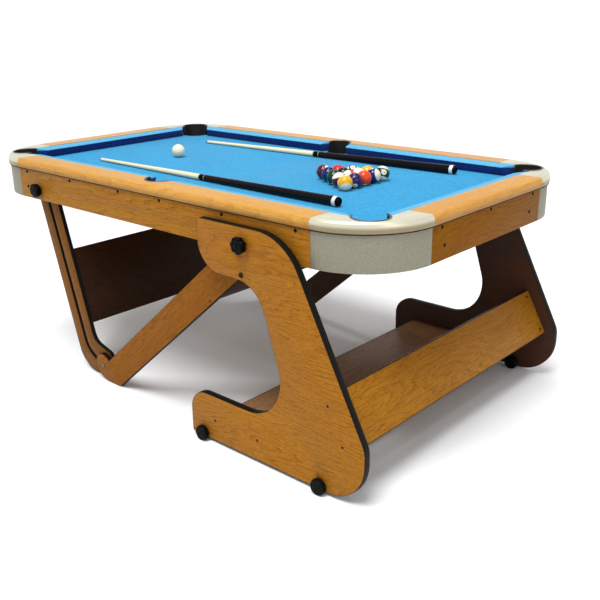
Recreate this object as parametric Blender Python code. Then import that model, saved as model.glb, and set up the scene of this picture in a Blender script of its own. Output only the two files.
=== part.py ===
"""Mini pool table whose top folds upright between two C-shaped side panels.

Metres, +Z up, floor at z = 0.  +X runs along the table towards the C-panels,
-Y is the near long side.  The origin is the floor point under the middle of
the playing surface.
"""
import math

import bmesh
import bpy
from mathutils import Vector
from mathutils.geometry import tessellate_polygon

# ---------------------------------------------------------------- table top
HALF_L = 0.900            # outer face of the end aprons
HALF_W = 0.516            # outer face of the long aprons
APRON_T = 0.015
APRON_BOTTOM = 0.6212
SEAM_Z = 0.7250           # underside of the rails
RAIL_TOP = 0.7550
OVERHANG = 0.0060         # rails stand out past the aprons by this much
RAIL_IN = 0.0735          # rail inner edge, measured in from the apron face
CORNER_R = 0.220          # plan radius of the moulded corners
GAP = 0.0003              # running gap left between neighbouring pieces
BULLNOSE = (              # edge section of rails and caps: height, inset
    (SEAM_Z, 0.0015), (SEAM_Z + 0.0035, 0.0), (0.7410, 0.0), (0.7470, 0.0010),
    (0.7512, 0.0032), (0.7540, 0.0062), (RAIL_TOP, 0.0100))
BED_BOTTOM = 0.7050
BED_TOP = 0.7170
CLOTH_BOTTOM = 0.7173
CLOTH_TOP = 0.7183
NOSE_Z = 0.7465           # height of the cushion nose
NOSE_OUT = 0.0405         # cushion depth, rail edge to nose
JAW_SIDE_X = 0.0485       # long cushions run from the side pocket ...
JAW_CORNER_X = 0.7465     # ... to here at the corner pocket
JAW_SIDE_CUT = 0.0120     # slant of the jaw at a side pocket
JAW_CORNER_Y = 0.3715     # end cushions reach this far from the middle
JAW_CORNER_CUT = 0.0405   # slant of the jaws at a corner pocket

# ------------------------------------------------------------------ pockets
CORNER_POCKET = (0.791, 0.412)
CORNER_POCKET_R = 0.0530
SIDE_POCKET_Y = 0.438
SIDE_POCKET_R = 0.0470
CUP_WALL = 0.0030
CUP_BOTTOM = 0.6320
CUP_SHIFT = 0.0260        # side cups step inwards below the bed, clear of the legs
SKIRT_T = 0.0040          # wall of the corner castings below the rails

# ----------------------------------------------------------- under the bed
BATTEN_X = 0.28
BATTEN_HALF = 0.02
BATTEN_REACH = 0.44
BATTEN_BOTTOM = 0.6868

# --------------------------------------------------- pivots of the leg frame
P1 = (0.470, 0.655)       # top and strut turn here, on the C-panels
P3 = (-0.567, 0.657)      # the slotted legs hang here
P4 = (-0.314, 0.056)      # foot bolt, at the bottom of the leg slot
STRUT_ANGLE = 40.4        # slope of the strut below horizontal
STRUT_HALF = 0.0485
STRUT_OUT = 0.4965        # outer face of the struts
STRUT_T = 0.016
STRUT_LENGTH = 0.930      # pivot to the square corner of the foot
BOSS_R = 0.042            # round boss at the strut's foot bolt
STRUT_BOARD = (0.100, 0.281)    # reach of the cross board along the struts
LEG_ANGLE = 74.0
LEG_OUT = 0.4785
LEG_T = 0.015
SLOT_W = 0.016
LEG_AXIS_SHIFT = 0.0218   # slot line sits this far left of the leg pivot
LEG_BOARD = (0.225, 0.4975)     # reach of the cross board along the legs
LEG_BOARD_FACE = 0.0132         # its near face, right of the leg pivot line

# ------------------------------------------------------------------- base
PANEL_IN = 0.5290         # inner face of the C-panels
PANEL_T = 0.022
BOARD_T = 0.015
FRONT_TOP = (0.777, 0.306)
FRONT_FOOT = (0.854, 0.166)
SHELF_X = (0.309, 0.700)
SHELF_TOP = 0.080
WHEEL_R = 0.024
WHEEL_X = (0.275, 0.740)
WHEEL_W = 0.018
WHEEL_CLEAR = 0.0020      # between each wheel and the panel
LOCK_BOLT = (0.461, 0.567)
STUD_R = 0.0040
BORE_R = 0.0045

# -------------------------------------------------------------- accessories
BALL_R = 0.0238
RACK_APEX = (0.283, 0.009)
CUE_BALL_AT = (-0.407, -0.015)
CUE_TIP_R = 0.0055
CUE_BUTT_R = 0.0145
CUE_LENGTH = 1.165
CUE_ENDS = (("cue_near", (-0.577, -0.246), (0.588, -0.266)),
            ("cue_far", (-0.577, 0.272), (0.587, 0.334)))


# ================================================================ geometry
def arc(cx, cy, r, a0, a1, steps):
    """Points along an arc, both ends included, angles in degrees."""
    pts = []
    for i in range(steps + 1):
        a = math.radians(a0 + (a1 - a0) * i / steps)
        pts.append((cx + r * math.cos(a), cy + r * math.sin(a)))
    return pts


def rounded(corners, step=9.0, closed=True):
    """Outline through (x, y, radius) corners, each radius as a true arc."""
    out = []
    n = len(corners)
    for i, (x, y, r) in enumerate(corners):
        if r <= 0 or (not closed and i in (0, n - 1)):
            out.append((x, y))
            continue
        px, py = corners[i - 1][:2]
        qx, qy = corners[(i + 1) % n][:2]
        a = Vector((px - x, py - y)).normalized()
        b = Vector((qx - x, qy - y)).normalized()
        half = math.acos(max(-1.0, min(1.0, a.dot(b)))) / 2
        reach = r / math.tan(half)
        centre = Vector((x, y)) + (a + b).normalized() * (r / math.sin(half))
        start = Vector((x, y)) + a * reach
        end = Vector((x, y)) + b * reach
        a0 = math.atan2(start.y - centre.y, start.x - centre.x)
        a1 = math.atan2(end.y - centre.y, end.x - centre.x)
        turn = (a1 - a0 + math.pi) % (2 * math.pi) - math.pi
        steps = max(2, round(abs(math.degrees(turn)) / step))
        for k in range(steps + 1):
            t = a0 + turn * k / steps
            out.append((centre.x + r * math.cos(t), centre.y + r * math.sin(t)))
    return out


def ribbon(path, half):
    """Closed outline of the given half width round an open path."""
    left = []
    right = []
    for i, p in enumerate(path):
        a = Vector(path[max(0, i - 1)])
        b = Vector(path[min(len(path) - 1, i + 1)])
        d = (b - a).normalized()
        left.append((p[0] - d.y * half, p[1] + d.x * half))
        right.append((p[0] + d.y * half, p[1] - d.x * half))
    d0 = Vector(path[1]) - Vector(path[0])
    d1 = Vector(path[-1]) - Vector(path[-2])
    h0 = math.degrees(math.atan2(d0.y, d0.x))
    h1 = math.degrees(math.atan2(d1.y, d1.x))
    tail = arc(path[0][0], path[0][1], half, h0 + 90, h0 + 270, 8)
    nose = arc(path[-1][0], path[-1][1], half, h1 - 90, h1 + 90, 8)
    return tail[1:-1] + right + nose[1:-1] + left[::-1]


def finish(name, bm, mat, pivot=(0, 0, 0), smooth=None):
    """Turn a bmesh in world coordinates into a named object on its pivot."""
    bmesh.ops.remove_doubles(bm, verts=bm.verts, dist=0.00001)
    bmesh.ops.recalc_face_normals(bm, faces=bm.faces)
    if bm.calc_volume(signed=True) < 0:
        bmesh.ops.reverse_faces(bm, faces=bm.faces)
    bmesh.ops.translate(bm, verts=bm.verts, vec=-Vector(pivot))
    mesh = bpy.data.meshes.new(name)
    bm.to_mesh(mesh)
    bm.free()
    ob = bpy.data.objects.new(name, mesh)
    bpy.context.scene.collection.objects.link(ob)
    ob.location = pivot
    mesh.materials.append(mat)
    if smooth:
        mesh.polygons.foreach_set("use_smooth", [True] * len(mesh.polygons))
        mesh.set_sharp_from_angle(angle=math.radians(smooth))
    return ob


def slab(name, loops, lo, hi, axis, mat, pivot=(0, 0, 0), smooth=None):
    """Flat piece: outline plus holes, pushed from lo to hi along Y or Z."""
    flat = [p for loop in loops for p in loop]
    tris = tessellate_polygon([[Vector((x, y, 0)) for x, y in lp] for lp in loops])
    bm = bmesh.new()

    def place(p, h):
        return (p[0], h, p[1]) if axis == "Y" else (p[0], p[1], h)

    low = [bm.verts.new(place(p, lo)) for p in flat]
    top = [bm.verts.new(place(p, hi)) for p in flat]
    for a, b, c in tris:
        bm.faces.new((low[a], low[b], low[c]))
        bm.faces.new((top[c], top[b], top[a]))
    base = 0
    for loop in loops:
        n = len(loop)
        for i in range(n):
            a = base + i
            b = base + (i + 1) % n
            bm.faces.new((low[a], low[b], top[b], top[a]))
        base += n
    return finish(name, bm, mat, pivot, smooth)


def stack(name, levels, mat, pivot=(0, 0, 0), smooth=30):
    """Solid through a pile of equal-count 3-D loops, closed at both ends."""
    bm = bmesh.new()
    rings = [[bm.verts.new(p) for p in loop] for loop in levels]
    n = len(rings[0])
    for lower, upper in zip(rings, rings[1:]):
        for i in range(n):
            j = (i + 1) % n
            bm.faces.new((lower[i], lower[j], upper[j], upper[i]))
    ends = [bm.faces.new(rings[0][::-1]), bm.faces.new(rings[-1])]
    for face in ends:
        face.normal_update()
    bmesh.ops.triangulate(bm, faces=ends, ngon_method="EAR_CLIP")
    return finish(name, bm, mat, pivot, smooth)


def lathe(name, profile, start, direction, segs, mat, pivot=None, smooth=40):
    """Turned piece: (radius, distance) pairs about an axis, ends at radius 0."""
    start = Vector(start)
    d = Vector(direction).normalized()
    side = d.orthogonal().normalized()
    other = d.cross(side)
    bm = bmesh.new()
    rings = []
    for r, h in profile:
        mid = start + d * h
        if r == 0:
            rings.append([bm.verts.new(mid)])
            continue
        ring = []
        for i in range(segs):
            a = 2 * math.pi * i / segs
            ring.append(bm.verts.new(mid + (side * math.cos(a) + other * math.sin(a)) * r))
        rings.append(ring)
    for a, b in zip(rings, rings[1:]):
        for i in range(segs):
            j = (i + 1) % segs
            if len(a) == 1:
                bm.faces.new((a[0], b[j], b[i]))
            elif len(b) == 1:
                bm.faces.new((a[i], a[j], b[0]))
            else:
                bm.faces.new((a[i], a[j], b[j], b[i]))
    return finish(name, bm, mat, tuple(start) if pivot is None else pivot, smooth)


def mirror_loops(loops, sx, sy):
    """Reflect plan loops into another quarter of the table."""
    return [[(sx * x, sy * y) for x, y in lp] for lp in loops]


def hole(x, y, r, steps=20):
    """Round hole as a closed loop."""
    return arc(x, y, r, 0, 360 - 360 / steps, steps - 1)


# =============================================================== materials
def material(name, colour, roughness, metallic=0.0):
    """Plain Principled material for one kind of piece."""
    mat = bpy.data.materials.new(name)
    mat.use_nodes = True
    bsdf = mat.node_tree.nodes["Principled BSDF"]
    bsdf.inputs["Base Color"].default_value = (*colour, 1.0)
    bsdf.inputs["Roughness"].default_value = roughness
    bsdf.inputs["Metallic"].default_value = metallic
    return mat


def make_materials():
    """One material per kind of surface."""
    return {
        "wood": material("beech_laminate", (0.50, 0.23, 0.06), 0.45),
        "rail": material("rail_laminate", (0.62, 0.32, 0.13), 0.35),
        "silver": material("silver_moulding", (0.52, 0.51, 0.46), 0.45, 0.2),
        "black": material("black_plastic", (0.012, 0.012, 0.013), 0.5),
        "blue": material("blue_cloth", (0.05, 0.33, 0.78), 0.95),
        "cushion": material("cushion_cloth", (0.05, 0.30, 0.70), 0.95),
        "mdf": material("bare_board", (0.30, 0.19, 0.10), 0.8),
        "steel": material("zinc_steel", (0.45, 0.45, 0.44), 0.35, 1.0),
        "cream": material("cream_maple", (0.80, 0.70, 0.48), 0.3),
        "ivory": material("ivory_resin", (0.88, 0.84, 0.72), 0.12),
        "resin": material("ball_resin", (0.45, 0.08, 0.06), 0.12),
    }


# =============================================================== table top
def apron_pieces(m):
    """Four apron boards; the long ones carry the pivot bores."""
    edge = HALF_L - CORNER_R - GAP
    z0, z1 = APRON_BOTTOM, SEAM_Z - GAP
    outline = [(-edge, z0), (edge, z0), (edge, z1), (-edge, z1)]
    bores = [hole(P1[0], P1[1], BORE_R), hole(P3[0], P3[1], BORE_R)]
    for side, s in (("near", -1), ("far", 1)):
        lo, hi = sorted((s * HALF_W, s * (HALF_W - APRON_T)))
        slab("apron_" + side, [outline] + bores, lo, hi, "Y", m["wood"])
    y = HALF_W - CORNER_R - GAP
    for side, s in (("left", -1), ("right", 1)):
        x0, x1 = sorted((s * HALF_L, s * (HALF_L - APRON_T)))
        box = [(x0, -y), (x1, -y), (x1, y), (x0, y)]
        slab("apron_" + side, [box], z0, z1, "Z", m["wood"])


def corner_pieces(m):
    """Moulded corner skirt below each corner and the cap with its pocket."""
    cx, cy = HALF_L - CORNER_R, HALF_W - CORNER_R
    px, py = CORNER_POCKET
    skirt = arc(cx, cy, CORNER_R, 90, 0, 18) + arc(cx, cy, CORNER_R - SKIRT_T, 0, 90, 18)
    in_y = HALF_W - RAIL_IN
    in_x = HALF_L - RAIL_IN
    a_long = 180 - math.degrees(math.asin((in_y - py) / CORNER_POCKET_R))
    a_end = -math.degrees(math.acos((in_x - px) / CORNER_POCKET_R))
    mouth = arc(px, py, CORNER_POCKET_R, a_end, a_long, 16)
    for name, sx, sy in (("near_left", -1, -1), ("near_right", 1, -1),
                         ("far_left", -1, 1), ("far_right", 1, 1)):
        slab("skirt_" + name, mirror_loops([skirt], sx, sy), APRON_BOTTOM,
             SEAM_Z - GAP, "Z", m["silver"], smooth=30)
        loops = []
        for z, inset in BULLNOSE:
            ring = arc(cx, cy, CORNER_R + OVERHANG - inset, 90, 0, 14)
            ring += [(in_x, cy)] + mouth + [(cx, in_y)]
            loops.append([(sx * x, sy * y, z) for x, y in ring])
        stack("cap_" + name, loops, m["silver"])


def rail_levels(half, face, notch):
    """Plan loops of one rail at each height; notch is the pocket cut-out."""
    loops = []
    inner = face - RAIL_IN
    for z, inset in BULLNOSE:
        out = face + OVERHANG - inset
        ring = [(-half, out), (half, out), (half, inner)]
        ring += notch + [(-half, inner)]
        loops.append([(x, y, z) for x, y in ring])
    return loops


def rail_pieces(m):
    """Four bullnosed rails; the long pair is notched for the side pockets."""
    inner = HALF_W - RAIL_IN
    lift = math.degrees(math.asin((inner - SIDE_POCKET_Y) / SIDE_POCKET_R))
    notch = arc(0, SIDE_POCKET_Y, SIDE_POCKET_R, lift, 180 - lift, 20)
    half = HALF_L - CORNER_R - GAP
    for side, s in (("near", -1), ("far", 1)):
        loops = [[(x, s * y, z) for x, y, z in lp] for lp in rail_levels(half, HALF_W, notch)]
        stack("rail_" + side, loops, m["rail"])
    half = HALF_W - CORNER_R - GAP
    for side, s in (("left", -1), ("right", 1)):
        loops = [[(s * y, x, z) for x, y, z in lp] for lp in rail_levels(half, HALF_L, [])]
        stack("rail_" + side, loops, m["rail"])


def cushion_loops(x0, x1, skew0, skew1, face):
    """Cushion section swept along X; each end is cut back towards the nose."""
    section = ((GAP, 0.7187), (GAP, 0.7535), (0.020, 0.7520), (0.0375, 0.7490),
               (NOSE_OUT, NOSE_Z), (0.0385, 0.7430), (0.0300, 0.7187))
    loops = []
    for x, skew in ((x0, skew0), (x1, skew1)):
        loops.append([(x + skew * u / NOSE_OUT, face - u, z) for u, z in section])
    return loops


def cushion_pieces(m):
    """Six cloth-covered cushions with angled ends at the pockets."""
    face = HALF_W - RAIL_IN
    for side, s in (("near", -1), ("far", 1)):
        for end, t in (("left", -1), ("right", 1)):
            loops = cushion_loops(JAW_SIDE_X, JAW_CORNER_X, JAW_SIDE_CUT, -JAW_CORNER_CUT, face)
            loops = [[(t * x, s * y, z) for x, y, z in lp] for lp in loops]
            stack("cushion_" + side + "_" + end, loops, m["cushion"], smooth=None)
    face = HALF_L - RAIL_IN
    for side, s in (("left", -1), ("right", 1)):
        loops = cushion_loops(-JAW_CORNER_Y, JAW_CORNER_Y, JAW_CORNER_CUT, -JAW_CORNER_CUT, face)
        loops = [[(s * y, x, z) for x, y, z in lp] for lp in loops]
        stack("cushion_" + side + "_end", loops, m["cushion"], smooth=None)


def quarter_notch(half_x, half_y, clear):
    """First-quarter outline of a board notched at the side and corner pockets."""
    px, py = CORNER_POCKET
    r = CORNER_POCKET_R + clear
    rs = SIDE_POCKET_R + clear
    pts = arc(px, py, r, 270, 180, 10)
    pts = [(half_x, py - r)] + pts + [(px - r, half_y)]
    lift = math.degrees(math.asin(min(0.99, (half_y - SIDE_POCKET_Y) / rs)))
    side = arc(0, SIDE_POCKET_Y, rs, lift, -90, 14)
    return pts, side


def bed_pieces(m):
    """Play-bed board and the cloth skin lying on it."""
    in_x, in_y = HALF_L - RAIL_IN - GAP, HALF_W - RAIL_IN - GAP
    for name, hx, hy, clear, z0, z1, mat in (
            ("bed", HALF_L - APRON_T - 0.0005, HALF_W - APRON_T - 0.0005, 0.0005,
             BED_BOTTOM, BED_TOP, m["mdf"]),
            ("cloth", in_x, in_y, 0.0, CLOTH_BOTTOM, CLOTH_TOP, m["blue"])):
        corner, side = quarter_notch(hx, hy, clear)
        if name == "bed":
            side = [(SIDE_POCKET_R + clear, hy)] + arc(0, SIDE_POCKET_Y, SIDE_POCKET_R + clear,
                                                      0, -90, 10)
        right = corner + side
        quarter = right[:-1]
        bottom = side[-1]
        half = quarter + [bottom] + [(-x, y) for x, y in quarter[::-1]]
        loop = half + [(x, -y) for x, y in half[::-1]]
        slab(name, [loop], z0, z1, "Z", mat)


def cup_piece(name, columns, mat):
    """Pocket cup from angular columns of (outer, inner) wall points."""
    bm = bmesh.new()
    n = len(columns)
    rows = len(columns[0])
    grid = [[bm.verts.new(p) for p in col] for col in columns]
    for i in range(n):
        j = (i + 1) % n
        for k in range(rows - 1):
            bm.faces.new((grid[i][k], grid[j][k], grid[j][k + 1], grid[i][k + 1]))
    bm.faces.new([grid[i][0] for i in range(n)][::-1])
    bm.faces.new([grid[i][rows - 1] for i in range(n)])
    return finish(name, bm, mat, smooth=35)


def cup_pieces(m):
    """Six pocket cups: low lip at the mouth, tall back wall inside the rail."""
    lip = BED_TOP - 0.0005
    rim = RAIL_TOP - 0.0012
    segs = 32
    jobs = []
    for tag, sx, sy in (("near_left", -1, -1), ("near_right", 1, -1),
                        ("far_left", -1, 1), ("far_right", 1, 1)):
        jobs.append((tag, sx, sy, CORNER_POCKET, CORNER_POCKET_R, 225, 55, 0.0, 0.0))
    for tag, sy in (("near_side", -1), ("far_side", 1)):
        jobs.append((tag, 1, sy, (0.0, SIDE_POCKET_Y), SIDE_POCKET_R, 270, 82, CUP_SHIFT,
                     0.0015))
    for tag, sx, sy, (px, py), hole_r, mouth, spread, shift, slim in jobs:
        outer = hole_r - 0.0008
        columns = []
        for i in range(segs):
            deg = 360 * i / segs
            off = abs((deg - mouth + 180) % 360 - 180)
            blend = min(1.0, max(0.0, (off - spread) / 5.0))
            top = lip + (rim - lip) * blend
            c, s = math.cos(math.radians(deg)), math.sin(math.radians(deg))
            low = outer - 0.004 - slim
            col = []
            for r, z, move in ((low - 0.006, CUP_BOTTOM, 1), (low, 0.6900, 1),
                               (outer - 0.0002, 0.7040, 0), (outer, top, 0),
                               (outer - CUP_WALL, top, 0), (outer - CUP_WALL, 0.7060, 0),
                               (low - CUP_WALL, 0.6915, 1),
                               (low - 0.006 - CUP_WALL, CUP_BOTTOM + 0.003, 1)):
                col.append((sx * (px + r * c), sy * (py - shift * move + r * s), z))
            columns.append(col)
        cup_piece("pocket_cup_" + tag, columns, m["black"])


def brace_pieces(m):
    """Two battens screwed under the play-bed."""
    for side, x in (("left", -BATTEN_X), ("right", BATTEN_X)):
        x0, x1 = x - BATTEN_HALF, x + BATTEN_HALF
        box = [(x0, -BATTEN_REACH), (x1, -BATTEN_REACH), (x1, BATTEN_REACH), (x0, BATTEN_REACH)]
        slab("bed_batten_" + side, [box], BATTEN_BOTTOM, BED_BOTTOM - GAP, "Z", m["mdf"])


# ============================================================ folding frame
def strut_point(s, t):
    """Point on the strut: s down from the pivot, t up across its width."""
    a = math.radians(STRUT_ANGLE)
    u = (-math.cos(a), -math.sin(a))
    n = (-math.sin(a), math.cos(a))
    return (P1[0] + u[0] * s + n[0] * t, P1[1] + u[1] * s + n[1] * t)


def leg_point(s, t):
    """Point on the leg: s down from its pivot, t to the right across it."""
    a = math.radians(LEG_ANGLE)
    return (P3[0] + math.cos(a) * s + math.sin(a) * t,
            P3[1] - math.sin(a) * s + math.cos(a) * t)


def strut_pieces(m):
    """Long sloping struts ending in a flat foot and a boss for the bolt."""
    a = 90 - STRUT_ANGLE
    head = arc(P1[0], P1[1], STRUT_HALF, -a, 180 - a, 14)
    boss = arc(P4[0], P4[1], BOSS_R, 35.6, 250, 18)
    foot = [(-0.300, 0.0045), (-0.280, 0.0), (-0.228, 0.0), (-0.218, 0.0045)]
    outline = head + boss + foot + [strut_point(STRUT_LENGTH, -STRUT_HALF)]
    holes = [hole(P1[0], P1[1], BORE_R), hole(P4[0], P4[1], 0.0035, 16)]
    pivot_y = STRUT_OUT - STRUT_T / 2
    for side, s in (("near", -1), ("far", 1)):
        lo, hi = sorted((s * STRUT_OUT, s * (STRUT_OUT - STRUT_T)))
        slab("strut_" + side, [outline] + holes, lo, hi, "Y", m["wood"],
             pivot=(P1[0], s * pivot_y, P1[1]))
    s0, s1 = STRUT_BOARD
    low = 0.002 - STRUT_HALF
    board = [strut_point(s0, low), strut_point(s1, low),
             strut_point(s1, low + BOARD_T), strut_point(s0, low + BOARD_T)]
    reach = STRUT_OUT - STRUT_T - GAP
    slab("strut_board", [board], -reach, reach, "Y", m["wood"], pivot=(P1[0], 0, P1[1]))
    for side, s in (("near", -1), ("far", 1)):
        prof = ((0, 0), (0.0050, 0), (0.0065, 0.0010), (0.0065, 0.0032), (0.0030, 0.0032),
                (0.0030, 0.0195), (0, 0.0195))
        lathe("foot_bolt_" + side, prof, (P4[0], s * (STRUT_OUT + 0.0035), P4[1]),
              (0, -s, 0), 16, m["steel"])


def leg_pieces(m):
    """Slotted hockey-stick legs and the board that joins them."""
    outline = rounded([(-0.6533, 0.690, 0.045), (-0.457, 0.006, 0.100),
                       (-0.283, 0.006, 0.030), (-0.283, 0.0965, 0.028),
                       (-0.383, 0.126, 0.050), (-0.5451, 0.690, 0.035)])
    top = leg_point(0.0535, -LEG_AXIS_SHIFT)
    path = rounded([(*top, 0), (-0.4175, 0.0563, 0.090), (*P4, 0)], closed=False)
    slot = ribbon(path, SLOT_W / 2)
    bore = hole(P3[0], P3[1], BORE_R)
    for side, s in (("near", -1), ("far", 1)):
        lo, hi = sorted((s * LEG_OUT, s * (LEG_OUT - LEG_T)))
        slab("leg_" + side, [outline, slot, bore], lo, hi, "Y", m["wood"],
             pivot=(P3[0], s * (LEG_OUT - LEG_T / 2), P3[1]))
    s0, s1 = LEG_BOARD
    t0, t1 = LEG_BOARD_FACE, LEG_BOARD_FACE + BOARD_T
    board = [leg_point(s0, t0), leg_point(s1, t0), leg_point(s1, t1), leg_point(s0, t1)]
    reach = LEG_OUT - LEG_T - GAP
    slab("leg_board", [board], -reach, reach, "Y", m["wood"], pivot=(P3[0], 0, P3[1]))


# ==================================================================== base
def panel_pieces(m):
    """C-shaped side panels with pivot, lock and axle bores."""
    outline = rounded([(0.223, 0.011, 0.008), (0.889, 0.011, 0.124), (0.889, 0.180, 0.080),
                       (0.6205, 0.7015, 0.163), (0.290, 0.7015, 0.015), (0.290, 0.552, 0.088),
                       (0.520, 0.552, 0.108), (0.6458, 0.158, 0.130), (0.223, 0.158, 0.067)],
                      step=7.5)
    holes = [hole(P1[0], P1[1], BORE_R), hole(LOCK_BOLT[0], LOCK_BOLT[1], BORE_R)]
    for x in WHEEL_X:
        holes.append(hole(x, WHEEL_R, 0.0035, 16))
    for side, s in (("near", -1), ("far", 1)):
        lo, hi = sorted((s * PANEL_IN, s * (PANEL_IN + PANEL_T)))
        slab("panel_" + side, [outline] + holes, lo, hi, "Y", m["wood"])


def board_pieces(m):
    """Sloping front board and low shelf that tie the two panels together."""
    reach = PANEL_IN - GAP
    dx, dz = FRONT_FOOT[0] - FRONT_TOP[0], FRONT_FOOT[1] - FRONT_TOP[1]
    length = math.hypot(dx, dz)
    nx, nz = dz / length * BOARD_T, -dx / length * BOARD_T
    front = [FRONT_TOP, FRONT_FOOT, (FRONT_FOOT[0] + nx, FRONT_FOOT[1] + nz),
             (FRONT_TOP[0] + nx, FRONT_TOP[1] + nz)]
    slab("front_board", [front], -reach, reach, "Y", m["wood"])
    shelf = [(SHELF_X[0], SHELF_TOP - BOARD_T), (SHELF_X[1], SHELF_TOP - BOARD_T),
             (SHELF_X[1], SHELF_TOP), (SHELF_X[0], SHELF_TOP)]
    slab("shelf_board", [shelf], -reach, reach, "Y", m["wood"])


def base_hardware(m):
    """Twin wheels on axles, pivot spacers and storage lock bolts."""
    w, r = WHEEL_W, WHEEL_R
    gap = WHEEL_CLEAR
    span = PANEL_T + 2 * gap
    one = ((0, 0), (0.010, 0), (0.012, 0.0015), (r - 0.004, 0.0015), (r, 0.0050),
           (r, w - 0.003), (r - 0.003, w), (0.0030, w))
    two = [(a, 2 * w + span - b) for a, b in one[::-1]]
    for side, s in (("near", -1), ("far", 1)):
        for end, x in zip(("rear", "front"), WHEEL_X):
            y = s * (PANEL_IN - gap - w)
            lathe("wheels_" + side + "_" + end, list(one) + two, (x, y, r), (0, s, 0), 24,
                  m["black"], pivot=(x, s * (PANEL_IN + PANEL_T / 2), r))
        ring = ((0.0160, 0), (0.0160, 0.0122), (BORE_R, 0.0122), (BORE_R, 0), (0.0160, 0))
        lathe("pivot_spacer_" + side, ring, (P1[0], s * (HALF_W + GAP), P1[1]), (0, s, 0), 24,
              m["black"])
        bolt = ((0, 0), (STUD_R, 0), (STUD_R, 0.0218), (0.0060, 0.0218), (0.0060, 0.0240),
                (0.0045, 0.0252), (0, 0.0252))
        lathe("lock_bolt_" + side, bolt, (LOCK_BOLT[0], s * (PANEL_IN + 0.0005), LOCK_BOLT[1]),
              (0, s, 0), 16, m["black"])


def knob_pieces(m):
    """Lobed hand knobs whose studs are the pivots of top, struts and legs."""
    count = 42
    jobs = []
    for side, s in (("near", -1), ("far", 1)):
        jobs.append(("knob_top_" + side, P1, s, PANEL_IN + PANEL_T + 0.0005, 0.4820))
        jobs.append(("knob_leg_" + side, P3, s, HALF_W + 0.0005, 0.4650))
    for name, (x, z), s, seat, end in jobs:
        levels = []
        rows = ((end, 0, STUD_R), (seat, 0, STUD_R), (seat, 0, 0.0130), (seat + 0.006, 0, 0.0130),
                (seat + 0.008, 0.0014, 0.0225), (seat + 0.011, 0.0020, 0.0236),
                (seat + 0.021, 0.0020, 0.0236), (seat + 0.0245, 0.0014, 0.0215),
                (seat + 0.0260, 0.0006, 0.0165), (seat + 0.0250, 0, 0.0100))
        for y, lobe, r in rows:
            loop = []
            for i in range(count):
                a = 2 * math.pi * i / count
                rr = r + lobe * math.cos(7 * a)
                loop.append((x + rr * math.cos(a), s * y, z + rr * math.sin(a)))
            levels.append(loop)
        stack(name, levels, m["black"], pivot=(x, s * seat, z), smooth=40)


# ============================================================= accessories
def ball_profile(r, n):
    """Half circle, pole to pole, in n steps."""
    pts = []
    for i in range(n + 1):
        a = math.pi * i / n
        pts.append((0 if i in (0, n) else r * math.sin(a), r - r * math.cos(a)))
    return pts


def ball_pieces(m):
    """Cue ball, and the racked fifteen as one touching cluster."""
    bed = CLOTH_TOP + GAP
    lathe("cue_ball", ball_profile(BALL_R, 12), (CUE_BALL_AT[0], CUE_BALL_AT[1], bed),
          (0, 0, 1), 24, m["ivory"])
    pitch = BALL_R * 2
    balls = []
    for row in range(5):
        for k in range(row + 1):
            x = RACK_APEX[0] + row * pitch * math.sqrt(3) / 2
            y = RACK_APEX[1] + (k - row / 2) * pitch
            ob = lathe("rack_ball", ball_profile(BALL_R + 0.0012, 8), (x, y, bed), (0, 0, 1), 12,
                       m["resin"], pivot=(RACK_APEX[0], RACK_APEX[1], bed))
            balls.append(ob)
    first = balls[0]
    first.name = "rack_balls"
    for other in balls[1:]:
        mod = first.modifiers.new("join", "BOOLEAN")
        mod.operation = "UNION"
        mod.solver = "EXACT"
        mod.object = other
        bpy.context.view_layer.update()
        graph = bpy.context.evaluated_depsgraph_get()
        mesh = bpy.data.meshes.new_from_object(first.evaluated_get(graph))
        first.modifiers.clear()
        first.data = mesh
        bpy.data.objects.remove(other, do_unlink=True)
    first.data.name = "rack_balls"


def cue_pieces(m):
    """Two-piece cues lying on the cloth, tips towards the left end."""
    profile = ((0, 0), (0.0045, 0.0), (CUE_TIP_R, 0.002), (CUE_TIP_R, 0.030),
               (0.0062, 0.150), (0.0098, 0.540), (0.0102, 0.560), (0.0106, 0.600),
               (0.0132, 0.950), (CUE_BUTT_R, 1.120), (CUE_BUTT_R, 1.145),
               (0.0125, 1.147), (0.0125, 1.162), (0.0110, CUE_LENGTH), (0, CUE_LENGTH))
    for name, tip, butt in CUE_ENDS:
        low = CLOTH_TOP + GAP
        a = Vector((tip[0], tip[1], low + CUE_TIP_R + 0.0007))
        b = Vector((butt[0], butt[1], low + CUE_BUTT_R + 0.0008))
        mid = (a + b) / 2
        lathe(name, profile, a, b - a, 16, m["cream"], pivot=tuple(mid))


def build():
    """Make every piece of the table."""
    for ob in list(bpy.data.objects):
        bpy.data.objects.remove(ob, do_unlink=True)
    m = make_materials()
    panel_pieces(m)
    board_pieces(m)
    base_hardware(m)
    apron_pieces(m)
    corner_pieces(m)
    rail_pieces(m)
    cushion_pieces(m)
    bed_pieces(m)
    cup_pieces(m)
    brace_pieces(m)
    strut_pieces(m)
    leg_pieces(m)
    knob_pieces(m)
    ball_pieces(m)
    cue_pieces(m)


build()
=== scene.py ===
"""Looks of the folding mini pool table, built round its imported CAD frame.

Metres, +Z up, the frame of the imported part.  -Y is the near long side and +X
the end with the C-shaped side panels.
"""
import math

import bmesh
import bpy
from mathutils import Matrix, Vector


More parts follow.
